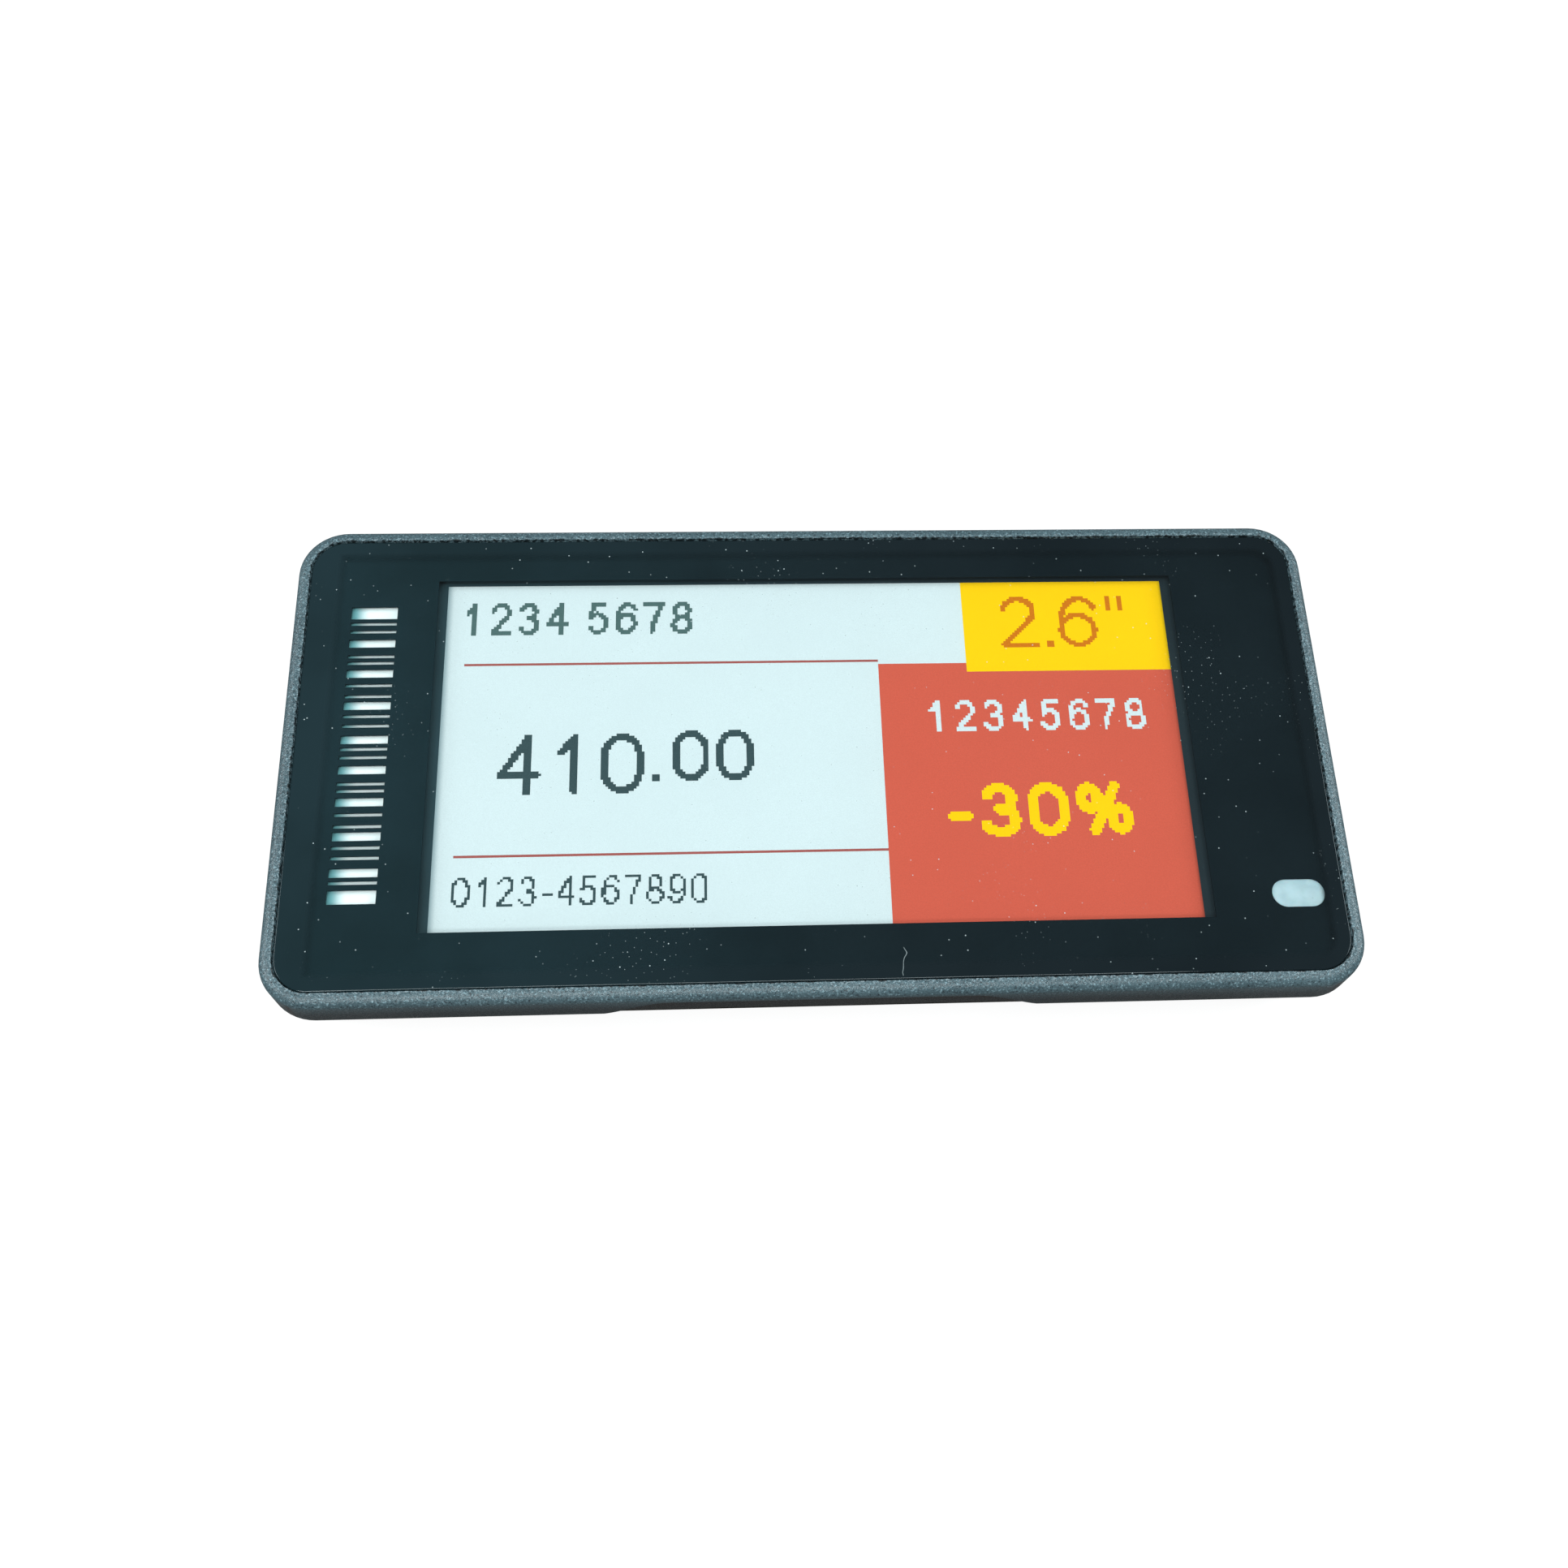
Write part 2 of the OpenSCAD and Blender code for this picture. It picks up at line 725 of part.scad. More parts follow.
module capacitors() {
    color("#b59a6c") for (i = [0, 1], k = [0:cap_rows - 1]) {
        x = cap_x_shares[i] * board_w + (i == 0 ? k * cap_pitch : 0);
        y = i == 0 ? board_h / 2 - cap_edge : cap_low_share * board_h + k * cap_pitch;
        translate([x - cap_w / 2, y - cap_l / 2, board_z - cap_t]) cube([cap_w, cap_l, cap_t]);
    }
}

module antenna() {
    end_x = board_w / 2 - post_side - post_r - antenna_gap;
    start_x = end_x - antenna_turns * antenna_pitch - trace_w;
    color("#c88a3c") translate([start_x, strip_y - antenna_h / 2, board_z - trace_t]) {
        for (k = [0:antenna_turns]) translate([k * antenna_pitch, 0, 0]) cube([trace_w, antenna_h, trace_t]);
        for (k = [0:antenna_turns - 1])
            translate([k * antenna_pitch, k % 2 == 0 ? 0 : antenna_h - trace_w, 0])
                cube([antenna_pitch + trace_w, trace_w, trace_t]);
    }
}

module status_lamp() {
    color("#e8e4c8") translate([lamp_x, lamp_y, tray_z]) {
        translate([-led_l / 2, -led_w / 2, 0]) cube([led_l, led_w, led_t - dome_r / 2]);
        cylinder(r = dome_r, h = led_t);
    }
}

module board_screws() {
    head_z = foam_z - touch - head_t;
    color("#b9bcc0") for (p = post_places) translate([p[0], p[1], 0]) difference() {
        union() {
            translate([0, 0, board_z - screw_bite]) cylinder(r = screw_r, h = head_z - board_z + screw_bite);
            translate([0, 0, head_z]) cylinder(r = head_r, h = head_t);
        }
        for (turn = [0, 90]) rotate([0, 0, turn])
            block([-head_r / 2, -slot_w / 2, head_z + head_t - slot_depth],
                [head_r / 2, slot_w / 2, head_z + head_t + over]);
    }
}

// Can with a rounded back edge, a crimped shoulder and a raised cap
module coin_cell() {
    r = cell_d / 2;
    rotate_extrude() {
        square([r - can_round, can_round]);
        intersection() {
            translate([r - can_round, can_round]) circle(can_round);
            translate([r - can_round, 0]) square(can_round);
        }
        translate([0, can_round]) square([r, cell_t - crimp_drop - can_round]);
        square([r * cap_share, cell_t]);
    }
}

module cell(side) {
    r = cell_d / 2;
    color("#c4c7ca") translate([side * cell_x, cell_y, cell_z]) difference() {
        coin_cell();
        translate([0, 0, cell_t - crimp_drop - crimp_d]) difference() {
            cylinder(r = r * crimp_share, h = crimp_d + over);
            translate([0, 0, -over]) cylinder(r = r * cap_share, h = crimp_d + 3 * over);
        }
    }
}

module cell_left() {
    cell(-1);
}

module cell_right() {
    cell(1);
}

module negative_contacts() {
    low = [[strip_far, tray_z], [strip_bend, tray_z], [cell_y - contact_tip, cell_top + touch],
        [strip_near, cell_top + touch + contact_rise]];
    outline = concat(low, [for (i = [3:-1:0]) low[i] + [0, contact_t]]);
    color("#d7b46a") for (s = [-1, 1])
        translate([s * cell_x - contact_w / 2, 0, 0]) rotate([90, 0, 90])
            linear_extrude(contact_w) polygon(outline);
}

module positive_contacts() {
    y = cell_y + cell_d / 2 + touch;
    low = cell_z + cell_t * leaf_low_share;
    color("#d7b46a") for (s = [-1, 1]) {
        block([s * cell_x - contact_w / 2, y, low], [s * cell_x + contact_w / 2, y + leaf_t, board_z]);
        block([s * cell_x - contact_w / 2, y, board_z - leaf_t],
            [s * cell_x + contact_w / 2, y + leaf_foot, board_z]);
    }
}

// The back's outer form, shared by the rear cover and the door: its foot stands back along both long sides
module back_form() {
    soft_plate(rear_w, foot_h, rear_r, 0, groove_z + groove_h / 2, 0, back_round);
    plate(rear_w, rear_h, rear_r, groove_z, skirt_z);
}

// T-shaped track for the door, open at the lower edge
module door_track() {
    inner = door_half - track_guide;
    step = door_half + door_gap;
    half = [[step, -over], [step, track_lip_t], [track_half, track_lip_t], [track_half, door_t + tongue_gap],
        [inner, door_t + tongue_gap], [inner, roof_z]];
    outline = concat(half, [for (i = [5:-1:0]) [-half[i][0], half[i][1]]]);
    translate([0, track_y1, 0]) rotate([90, 0, 0])
        linear_extrude(track_y1 + rear_h / 2 + over) polygon(outline);
}

module rear_cover() {
    groove_top = groove_z + groove_h;
    backing_y = rear_h / 2 - groove_d - groove_back;
    backing_z0 = floor_t / 2;
    backing_z1 = groove_top + groove_above;
    color("#24211f") difference() {
        union() {
            difference() {
                back_form();
                plate(inner_w, inner_h, inner_r, floor_t, skirt_z + over);
            }
            intersection() {
                back_form();
                union() {
                    block([-track_half - track_wall, -rear_h / 2, floor_t / 2],
                        [track_half + track_wall, track_y1 + track_wall, roof_top]);
                    for (s = [-1, 1])
                        translate([0, s * (backing_y + rear_h / 2) / 2, (backing_z0 + backing_z1) / 2])
                            cube([rear_w, rear_h / 2 - backing_y, backing_z1 - backing_z0], center = true);
                }
            }
            for (s = [-1, 1]) translate([s * cell_x, cell_y, floor_t / 2])
                cylinder(r = ring_r, h = ring_top - floor_t / 2);
            for (p = post_places) translate([p[0], p[1], floor_t / 2])
                cylinder(r = post_r, h = board_z - floor_t / 2);
        }
        door_track();
        for (s = [-1, 1]) {
            translate([s * cell_x, cell_y, 0]) cylinder(r = bay_r, h = board_z);
            block([s * cell_x - contact_w / 2 - leaf_gap, cell_y, roof_top],
                [s * cell_x + contact_w / 2 + leaf_gap, cell_y + ring_r + leaf_gap, board_z]);
            translate([0, s * (rear_h - groove_d + over) / 2, groove_z + groove_h / 2])
                cube([rear_w + over, groove_d + over, groove_h], center = true);
        }
        for (p = post_places) translate([p[0], p[1], board_z - pilot_depth])
            cylinder(r = screw_r + pilot_gap, h = pilot_depth + over);
        at_catches() block([-catch_l / 2 - catch_gap, -catch_out - catch_gap, -catch_gap / 2],
            [catch_l / 2 + catch_gap, over, catch_h + catch_gap]);
    }
}

module battery_door() {
    half = [[door_half, 0], [door_half, door_t - tongue_t], [door_half + tongue_w, door_t - tongue_t],
        [door_half + tongue_w, door_t]];
    outline = concat(half, [for (i = [3:-1:0]) [-half[i][0], half[i][1]]]);
    grip_y = door_y1 - grip_down;
    color("#2a2725") union() {
        difference() {
            intersection() {
                translate([0, door_y1, 0]) rotate([90, 0, 0])
                    linear_extrude(door_y1 + rear_h / 2) polygon(outline);
                back_form();
            }
            translate([0, grip_y, -over]) linear_extrude(over + grip_depth) obround(grip_w, grip_h);
        }
        for (k = [0:grip_ribs - 1]) {
            y = grip_y + (k - (grip_ribs - 1) / 2) * grip_h / (grip_ribs + 1);
            block([-grip_w / 2 + grip_h / 2, y - grip_rib_w / 2, 0],
                [grip_w / 2 - grip_h / 2, y + grip_rib_w / 2, grip_depth]);
        }
        for (s = [-1, 1])
            translate([s * (door_half + tongue_w + nib_out - nib_r), nib_up - foot_h / 2, door_t - tongue_t])
                cylinder(r = nib_r, h = tongue_t);
    }
}

module door_foam() {
    w = 2 * (cell_x + cell_d / 2 - door_foam_in);
    color("#3b3d40") translate([0, cell_y, 0])
        plate(w, cell_d - 2 * door_foam_in, door_foam_r, door_t, door_t + door_foam_t);
}

front_frame();
window_lens();
lens_mask();
lens_gasket();
code_backing();
light_guide();
display_film();
display_glass();
driver_chip();
display_flex();
display_foam();
display_tray();
main_board();
flex_connector();
flex_lock();
radio_chip();
memory_chip();
crystal();
boost_coil();
capacitors();
antenna();
status_lamp();
board_screws();
cell_left();
cell_right();
negative_contacts();
positive_contacts();
rear_cover();
battery_door();
door_foam();
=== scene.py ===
"""Looks of the electronic shelf label: finishes, the ink of its e-paper screen, floor, lamps and camera."""

import math

import bpy
from mathutils import Matrix, Vector


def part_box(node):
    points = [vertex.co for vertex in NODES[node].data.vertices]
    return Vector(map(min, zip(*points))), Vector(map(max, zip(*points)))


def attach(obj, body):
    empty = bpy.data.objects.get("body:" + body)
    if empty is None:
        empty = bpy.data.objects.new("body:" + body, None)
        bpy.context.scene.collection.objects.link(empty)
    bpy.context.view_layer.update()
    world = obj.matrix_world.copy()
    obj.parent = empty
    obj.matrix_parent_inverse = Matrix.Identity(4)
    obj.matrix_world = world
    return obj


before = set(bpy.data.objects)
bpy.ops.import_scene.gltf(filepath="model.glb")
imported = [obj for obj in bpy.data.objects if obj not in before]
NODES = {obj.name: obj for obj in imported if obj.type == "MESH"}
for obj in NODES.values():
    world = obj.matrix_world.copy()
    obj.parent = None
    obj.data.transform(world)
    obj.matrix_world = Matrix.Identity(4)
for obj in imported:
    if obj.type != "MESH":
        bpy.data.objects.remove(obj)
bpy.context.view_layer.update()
MM = 0.001
NOISE_ROUGHNESS = 0.55


# ---------------------------------------------------------------- node helpers


class Finish:
    """A material under construction: its node tree, its main shader and its object coordinates."""

    def __init__(self, name, colour, roughness, metallic=0.0, specular=0.5):
        self.material = bpy.data.materials.new(name)
        self.material.use_nodes = True
        self.tree = self.material.node_tree
        self.shader = self.tree.nodes["Principled BSDF"]
        self.output = self.tree.nodes["Material Output"]
        self.material.diffuse_color = (*colour, 1)
        self.shader.inputs["Base Color"].default_value = (*colour, 1)
        self.shader.inputs["Roughness"].default_value = roughness
        self.shader.inputs["Metallic"].default_value = metallic
        self.shader.inputs["Specular IOR Level"].default_value = specular
        self.place = self.add("ShaderNodeTexCoord").outputs["Object"]

    def add(self, kind, **settings):
        node = self.tree.nodes.new(kind)
        for key, value in settings.items():
            setattr(node, key, value)
        return node

    def link(self, source, target):
        self.tree.links.new(source, target)

    def value(self, target, given):
        """Puts a number, a tuple or another node's output into a socket."""
        if isinstance(given, bpy.types.NodeSocket):
            self.link(given, target)
        else:
            target.default_value = given

    def math(self, operation, a, b=0.0):
        node = self.add("ShaderNodeMath", operation=operation)
        self.value(node.inputs[0], a)
        self.value(node.inputs[1], b)
        return node.outputs[0]

    def vector(self, operation, a, b=(0, 0, 0)):
        node = self.add("ShaderNodeVectorMath", operation=operation)
        self.value(node.inputs[0], a)
        self.value(node.inputs[1], b)
        return node.outputs["Value"] if operation in ("LENGTH", "DOT_PRODUCT") else node.outputs["Vector"]

    def stretched(self, factors):
        """Object coordinates multiplied along each axis, for grain that runs one way."""
        return self.vector("MULTIPLY", self.place, factors)

    def noise(self, size_mm, detail=3.0, place=None):
        """Noise whose features are about this many millimetres across."""
        node = self.add("ShaderNodeTexNoise")
        node.inputs["Scale"].default_value = 1 / (size_mm * MM)
        node.inputs["Detail"].default_value = detail
        node.inputs["Roughness"].default_value = NOISE_ROUGHNESS
        self.link(place or self.place, node.inputs["Vector"])
        return node.outputs["Fac"]

    def cells(self, size_mm, feature="F1", place=None, jitter=1.0, flat=False):
        """Distance from the middle or the edge of cells about this many millimetres across."""
        node = self.add("ShaderNodeTexVoronoi", feature=feature, voronoi_dimensions="2D" if flat else "3D")
        node.inputs["Scale"].default_value = 1 / (size_mm * MM)
        node.inputs["Randomness"].default_value = jitter
        self.link(place or self.place, node.inputs["Vector"])
        return node.outputs["Distance"]

    def span(self, source, low, high, to_low=0.0, to_high=1.0):
        """The source eased from to_low, where it is low, to to_high, where it is high."""
        node = self.add("ShaderNodeMapRange", interpolation_type="SMOOTHSTEP")
        self.link(source, node.inputs["Value"])
        node.inputs["From Min"].default_value = low
        node.inputs["From Max"].default_value = high
        node.inputs["To Min"].default_value = to_low
        node.inputs["To Max"].default_value = to_high
        return node.outputs["Result"]

    def mix(self, share, first, second):
        node = self.add("ShaderNodeMix", data_type="RGBA")
        self.value(node.inputs["Factor"], share)
        for key, given in (("A", first), ("B", second)):
            socket = [s for s in node.inputs if s.name == key and s.type == "RGBA"][0]
            self.value(socket, given if isinstance(given, bpy.types.NodeSocket) else (*given, 1))
        return [s for s in node.outputs if s.type == "RGBA"][0]

    def paint(self, source):
        self.link(source, self.shader.inputs["Base Color"])

    def mottle(self, size_mm, first, second):
        """Soft patches of two tones."""
        self.paint(self.mix(self.span(self.noise(size_mm, 4.0), 0.35, 0.65), first, second))

    def uneven(self, size_mm, low, high):
        """Roughness that wanders from low to high."""
        self.link(self.span(self.noise(size_mm), 0.3, 0.7, low, high), self.shader.inputs["Roughness"])

    def relief(self, heights, depth_mm, strength):
        """Bumps from (height, share) pairs, the deepest of them this many millimetres deep."""
        total = None
        for height, share in heights:
            part = self.math("MULTIPLY", height, share)
            total = part if total is None else self.math("ADD", total, part)
        bump = self.add("ShaderNodeBump")
        bump.inputs["Strength"].default_value = strength
        bump.inputs["Distance"].default_value = depth_mm * MM
        self.link(total, bump.inputs["Height"])
        self.link(bump.outputs["Normal"], self.shader.inputs["Normal"])

    def edge_distance(self, half_w, half_h, radius):
        """Distance in metres outside a centred rounded rectangle seen from above, negative inside it."""
        sides = self.vector("ABSOLUTE", self.place)
        corner = self.vector("SUBTRACT", sides, (half_w - radius, half_h - radius, 0))
        split = self.add("ShaderNodeSeparateXYZ")
        self.link(corner, split.inputs[0])
        x, y = split.outputs["X"], split.outputs["Y"]
        out_x, out_y = self.math("MAXIMUM", x, 0.0), self.math("MAXIMUM", y, 0.0)
        squares = self.math("ADD", self.math("MULTIPLY", out_x, out_x), self.math("MULTIPLY", out_y, out_y))
        outside = self.math("SQRT", squares)
        inside = self.math("MINIMUM", self.math("MAXIMUM", x, y), 0.0)
        return self.math("SUBTRACT", self.math("ADD", outside, inside), radius)

    def along(self, axis):
        split = self.add("ShaderNodeSeparateXYZ")
        self.link(self.place, split.inputs[0])
        return split.outputs[axis]


def dress(finish, *names):
    for name in names:
        slots = NODES[name].data.materials
        slots.clear()
        slots.append(finish.material)


# ---------------------------------------------------------------- housing plastics

lens_low, lens_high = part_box("window_lens")
lens_half = ((lens_high.x - lens_low.x) / 2, (lens_high.y - lens_low.y) / 2)
frame_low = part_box("front_frame")[0]
LENS_CORNER = 2.75 * MM

SCOOP_DEPTH = 0.35 * MM
# Each pair says where a tone starts and where it is at its full strength
SEAM_LINE = 0.14 * MM, 0.06 * MM
SEAM_WEAR_AND_HIGHLIGHT = 0.42 * MM, 0.20 * MM
SEAM_WAVER = 0.11 * MM
SCOOP_FLOOR = 0.12 * MM, 0.05 * MM
SCOOP_TOP = 9.85 * MM, 9.65 * MM
WALL_SHADE = 10.5 * MM, 8.0 * MM
rim = Finish("frame_charcoal", (0.05, 0.063, 0.072), 0.42)
pits = rim.noise(0.17, 2.0)
fine = rim.noise(0.08, 1.0)
tone = rim.mix(rim.span(rim.noise(9.0, 3.0), 0.3, 0.7), (0.050, 0.088, 0.104), (0.068, 0.116, 0.135))
tone = rim.mix(rim.span(pits, 0.55, 0.72), tone, (0.19, 0.30, 0.34))
tone = rim.mix(rim.span(pits, 0.42, 0.30), tone, (0.014, 0.025, 0.031))
seam = rim.edge_distance(lens_half[0], lens_half[1], LENS_CORNER)
ragged = rim.math("ADD", seam, rim.span(rim.noise(0.35, 4.0), 0.25, 0.75, -SEAM_WAVER, SEAM_WAVER))
# Pale ragged nicks along the lens seam: real wear, made brighter and wider as a painted highlight on the
# rim's inner edge
wear_and_highlight = rim.math("MULTIPLY", rim.span(ragged, *SEAM_WEAR_AND_HIGHLIGHT), rim.span(rim.noise(0.14, 2.0), 0.50, 0.66))
tone = rim.mix(rim.math("MULTIPLY", wear_and_highlight, 0.75), tone, (0.26, 0.34, 0.37))
tone = rim.mix(rim.span(ragged, *SEAM_LINE), tone, (0.010, 0.016, 0.019))
# Painted shade: the scoop's recessed wall, below the scoop's top, is made near black because the recess lies
# in shade
floor_y = rim.math("ABSOLUTE", rim.math("SUBTRACT", rim.along("Y"), frame_low.y + SCOOP_DEPTH))
scoop_shade = rim.math("MULTIPLY", rim.span(floor_y, *SCOOP_FLOOR), rim.span(rim.along("Z"), *SCOOP_TOP))
tone = rim.mix(rim.span(rim.along("Z"), *WALL_SHADE, 0.0, 0.90), tone, (0.012, 0.017, 0.021))
tone = rim.mix(scoop_shade, tone, (0.012, 0.0125, 0.0135))
rim.paint(tone)
rim.uneven(0.22, 0.22, 0.42)
rim.relief([(pits, 1.0), (fine, 0.4)], 0.055, 1.0)
dress(rim, "front_frame")

shell = Finish("housing_black_brown", (0.014, 0.011, 0.010), 0.42)
shell.mottle(7.0, (0.0138, 0.0112, 0.0102), (0.0162, 0.0130, 0.0116))
shell.uneven(1.2, 0.34, 0.50)
shell.relief([(shell.noise(0.12, 2.0), 1.0)], 0.012, 0.6)
dress(shell, "rear_cover")

door = Finish("door_black_brown", (0.014, 0.013, 0.012), 0.4)
door.mottle(5.0, (0.0138, 0.0120, 0.0110), (0.0166, 0.0144, 0.0132))
door.uneven(1.0, 0.30, 0.46)
door.relief([(door.noise(0.12, 2.0), 1.0), (door.noise(1.5, 2.0), 0.3)], 0.012, 0.6)
dress(door, "battery_door")

# ---------------------------------------------------------------- lens and mask

# Painted reflection on the black print: palest at the first x, gone at the second
REFLECTION_PALE_X, REFLECTION_DEEP_X = -41 * MM, 16 * MM
BORDER_INK = -1.6 * MM, -0.9 * MM
LEFT_INK = 2.8 * MM, 2.0 * MM
OUTER_FACE = 10.36 * MM, 10.44 * MM
HAIR_START, HAIR_END = Vector((0.0063, -0.0168, 0)), Vector((0.0058, -0.01895, 0))
HAIR_HALF = 1.1 * MM
HAIR_WIDTH = 0.045 * MM, 0.02 * MM
HAIR_WAVER = 0.5 * MM


def print_black_and_reflection(finish, share):
    """Black of the lens print with its teal cast, made paler towards the label's left end by a painted
    reflection.
    """
    cloud = finish.span(finish.noise(14.0, 3.0), 0.35, 0.65)
    left_tones = (0.0078, 0.0200, 0.0245), (0.0108, 0.0262, 0.0325)
    right_tones = (0.0046, 0.0092, 0.0120), (0.0066, 0.0124, 0.0158)
    left = [tuple(c * share for c in colour) for colour in left_tones]
    right = [tuple(c * share for c in colour) for colour in right_tones]
    reflection_share = finish.span(finish.along("X"), REFLECTION_PALE_X, REFLECTION_DEEP_X)
    return finish.mix(reflection_share, finish.mix(cloud, *left), finish.mix(cloud, *right))


lens = Finish("lens_acrylic", (0.9, 0.95, 0.96), 0.03)
clear = lens.add("ShaderNodeBsdfTransparent")
clear.inputs["Color"].default_value = (0.955, 0.985, 0.985, 1)
edge_ink = lens.add("ShaderNodeBsdfDiffuse")
# The lens's printed border: the print's black with its painted reflection
lens.link(print_black_and_reflection(lens, 0.93), edge_ink.inputs["Color"])
edge_share = lens.span(lens.edge_distance(lens_half[0], lens_half[1], LENS_CORNER), *BORDER_INK)
left_share = lens.span(lens.along("X"), *(lens_low.x + width for width in LEFT_INK))
edge_share = lens.math("MAXIMUM", edge_share, left_share)
edge_share = lens.math("MULTIPLY", edge_share, lens.add("ShaderNodeLightPath").outputs["Is Camera Ray"])
through = lens.add("ShaderNodeMixShader")
lens.link(edge_share, through.inputs[0])
lens.link(clear.outputs[0], through.inputs[1])
lens.link(edge_ink.outputs[0], through.inputs[2])
gloss = lens.add("ShaderNodeBsdfGlossy")
gloss.inputs["Color"].default_value = (0.86, 0.97, 1.0, 1)
lens.link(lens.span(lens.noise(6.0, 4.0), 0.3, 0.75, 0.02, 0.10), gloss.inputs["Roughness"])
mirror = lens.add("ShaderNodeFresnel")
mirror.inputs["IOR"].default_value = 1.49
outer = lens.math("SUBTRACT", 1.0, lens.add("ShaderNodeNewGeometry").outputs["Backfacing"])
shine = lens.math("MULTIPLY", mirror.outputs[0], outer)
pane = lens.add("ShaderNodeMixShader")
lens.link(shine, pane.inputs[0])
lens.link(through.outputs[0], pane.inputs[1])
lens.link(gloss.outputs[0], pane.inputs[2])
dust = lens.add("ShaderNodeBsdfDiffuse")
dust.inputs["Color"].default_value = (0.50, 0.60, 0.62, 1)
speck = lens.span(lens.cells(2.1, flat=True), 0.030, 0.014)
speck = lens.math("MULTIPLY", speck, lens.span(lens.noise(5.0, 2.0), 0.46, 0.64, 0.0, 0.8))
fleck = lens.span(lens.cells(0.8, flat=True), 0.050, 0.025)
fleck = lens.math("MULTIPLY", fleck, lens.span(lens.noise(9.0, 2.0), 0.54, 0.70, 0.0, 0.45))
hair_way = (HAIR_END - HAIR_START).normalized()
from_start = lens.vector("SUBTRACT", lens.place, tuple(HAIR_START))
along = lens.vector("DOT_PRODUCT", from_start, tuple(hair_way))
aside = lens.vector("DOT_PRODUCT", from_start, (-hair_way.y, hair_way.x, 0))
waver = lens.span(lens.noise(1.6, 1.0), 0.2, 0.8, -HAIR_WAVER, HAIR_WAVER)
aside = lens.math("ABSOLUTE", lens.math("ADD", aside, waver))
on_way = lens.math("LESS_THAN", lens.math("ABSOLUTE", lens.math("SUBTRACT", along, HAIR_HALF)), HAIR_HALF)
hair = lens.math("MULTIPLY", lens.span(aside, *HAIR_WIDTH), lens.math("MULTIPLY", on_way, 0.4))
dirt = lens.math("MAXIMUM", lens.math("MAXIMUM", speck, fleck), hair)
dirt = lens.math("MULTIPLY", dirt, lens.span(lens.along("Z"), *OUTER_FACE))
dirt = lens.math("MULTIPLY", dirt, outer)
cover = lens.add("ShaderNodeMixShader")
lens.link(dirt, cover.inputs[0])
lens.link(pane.outputs[0], cover.inputs[1])
lens.link(dust.outputs[0], cover.inputs[2])
lens.link(cover.outputs[0], lens.output.inputs["Surface"])
lens.tree.nodes.remove(lens.shader)
dress(lens, "window_lens")

mask = Finish("mask_ink", (0.006, 0.015, 0.020), 0.7, specular=0.0)
# The mask's black carries the same painted reflection, paler to the left
mask.paint(print_black_and_reflection(mask, 1.0))
mask.uneven(2.0, 0.6, 0.8)
dress(mask, "lens_mask")

adhesive = Finish("adhesive_foam", (0.006, 0.008, 0.009), 0.9, specular=0.2)
adhesive.mottle(0.8, (0.004, 0.006, 0.007), (0.010, 0.013, 0.015))
adhesive.relief([(adhesive.cells(0.15), 1.0)], 0.02, 0.5)
dress(adhesive, "lens_gasket")

CODE_SHADE = 1.8 * MM, 0.4 * MM
backing = Finish("code_white", (0.95, 0.99, 0.99), 0.6)
code_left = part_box("code_backing")[0].x
white = backing.mix(backing.span(backing.noise(2.0), 0.35, 0.65), (0.93, 0.98, 0.98), (0.99, 1.0, 1.0))
shaded_end = backing.span(backing.along("X"), *(code_left + width for width in CODE_SHADE))
backing.paint(backing.mix(shaded_end, white, (0.16, 0.42, 0.45)))
backing.relief([(backing.noise(0.08, 2.0), 1.0)], 0.004, 0.5)
dress(backing, "code_backing")

guide = Finish("light_guide_frost", (0.47, 0.58, 0.62), 0.5)
guide.mottle(1.2, (0.39, 0.50, 0.54), (0.47, 0.58, 0.62))
guide.shader.inputs["Subsurface Weight"].default_value = 0.25
guide.shader.inputs["Subsurface Scale"].default_value = 0.0012
guide.relief([(guide.noise(0.1, 2.0), 1.0)], 0.006, 0.5)
dress(guide, "light_guide", "status_lamp")

# ---------------------------------------------------------------- e-paper

COLS, ROWS = 296, 152
FILM_BORDER = 0.9 * MM
LEFT_SHADE, RIGHT_SHADE = 0.8 * MM, 0.5 * MM
film_low, film_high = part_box("display_film")
lit_low = Vector((film_low.x + FILM_BORDER, film_low.y + FILM_BORDER, film_high.z))
lit_high = Vector((film_high.x - FILM_BORDER, film_high.y - FILM_BORDER, film_high.z))
DOT = ((lit_high.x - lit_low.x) / COLS, (lit_high.y - lit_low.y) / ROWS)


def epaper(name, colour, spread):
    """Ink of the screen: a faint mottle finer than a screen dot, with painted shade of the print at both
    ends.
    """
    ink = Finish(name, colour, 0.62, specular=0.05)
    darker = tuple(c * (1 - spread) for c in colour)
    lighter = tuple(min(1.0, c * (1 + spread)) for c in colour)
    grain = ink.mix(ink.span(ink.noise(0.11, 2.0), 0.25, 0.75), darker, lighter)
    broad = ink.span(ink.noise(7.0, 2.0), 0.3, 0.7, 0.0, 1.0)
    shade = tuple(c * 0.95 for c in colour)
    tone = ink.mix(ink.math("MULTIPLY", broad, 0.35), grain, shade)
    left_end = ink.span(ink.along("X"), lit_low.x + LEFT_SHADE, lit_low.x, 0.0, 0.75)
    right_end = ink.span(ink.along("X"), lit_high.x - RIGHT_SHADE, lit_high.x, 0.0, 0.75)
    shaded = tuple(c * k for c, k in zip(colour, (0.16, 0.30, 0.34)))
    ink.paint(ink.mix(ink.math("MAXIMUM", left_end, right_end), tone, shaded))
    return ink


